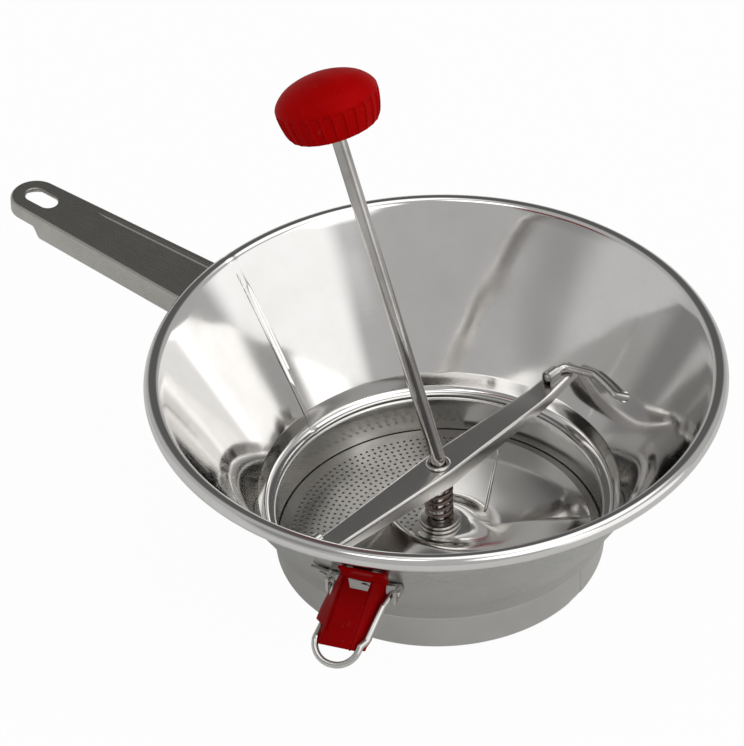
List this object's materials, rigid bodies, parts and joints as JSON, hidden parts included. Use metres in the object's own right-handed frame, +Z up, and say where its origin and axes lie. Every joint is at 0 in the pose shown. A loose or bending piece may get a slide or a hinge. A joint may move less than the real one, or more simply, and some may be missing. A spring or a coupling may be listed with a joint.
{
  "type": "food mill",
  "caption": "Hand food mill: a steel cone bowl with a side handle, a perforated disc, a sprung cranked blade with a round knob, a crossbar and a red release latch.",
  "frame": {"origin": "middle of the whole part's plan, on the surface that the band stands on", "axes": "+Z up along the bowl's axis, -X towards the handle's end, the latch towards -Y"},
  "size_m": [0.3522, 0.24, 0.2089],
  "materials": {
    "polished_steel": "polished",
    "satin_steel": "satin",
    "dark_steel": "dull spring steel",
    "red_paint": "gloss red paint",
    "red_plastic": "smooth red plastic"
  },
  "bodies": {
    "bowl": {"bowl_cone": "polished_steel", "rim_wire": "satin_steel", "base_band": "satin_steel", "perforated_disc": "satin_steel", "crossbar": "satin_steel", "shaft_bush": "satin_steel", "arm_far": "satin_steel", "arm_near": "satin_steel", "arm_clip_far": "satin_steel", "arm_clip_near": "satin_steel", "handle": "satin_steel", "spring_cup": "satin_steel", "spring": "dark_steel", "latch_strap": "satin_steel", "strap_rivet_left": "satin_steel", "strap_rivet_mid": "satin_steel"},
    "float": {"thrust_washer": "satin_steel"},
    "crank": {"crank_rod": "polished_steel", "lower_washer": "satin_steel", "blade": "polished_steel", "blade_hub": "satin_steel", "hub_pin": "satin_steel", "knob_washer": "satin_steel"},
    "knob": {"knob": "red_plastic"},
    "latch": {"latch_lever": "red_paint", "latch_bail": "polished_steel"}
  },
  "joints": [
    {"name": "blade_float", "type": "slide", "parent": "bowl", "child": "float", "axis": [0, 0, 1], "range_m": [0, 0.005], "stiffness_N_per_m": 1500, "springref_m": -0.006, "deforming": ["spring"]},
    {"name": "crank_spin", "type": "hinge", "parent": "float", "child": "crank", "pos_m": [0.056, 0, 0.02], "axis": [0, 0, 1], "continuous": true},
    {"name": "knob_spin", "type": "hinge", "parent": "crank", "child": "knob", "pos_m": [0.00059, 0.00779, 0.18487], "axis": [-0.3645, 0.0512, 0.9298], "continuous": true},
    {"name": "latch_press", "type": "hinge", "parent": "bowl", "child": "latch", "pos_m": [0.08879, -0.09009, 0.0536], "axis": [0.9397, 0.342, 0], "range_deg": [0, 32], "stiffness_Nm_per_rad": 0.4, "springref_deg": -8.59}
  ]
}
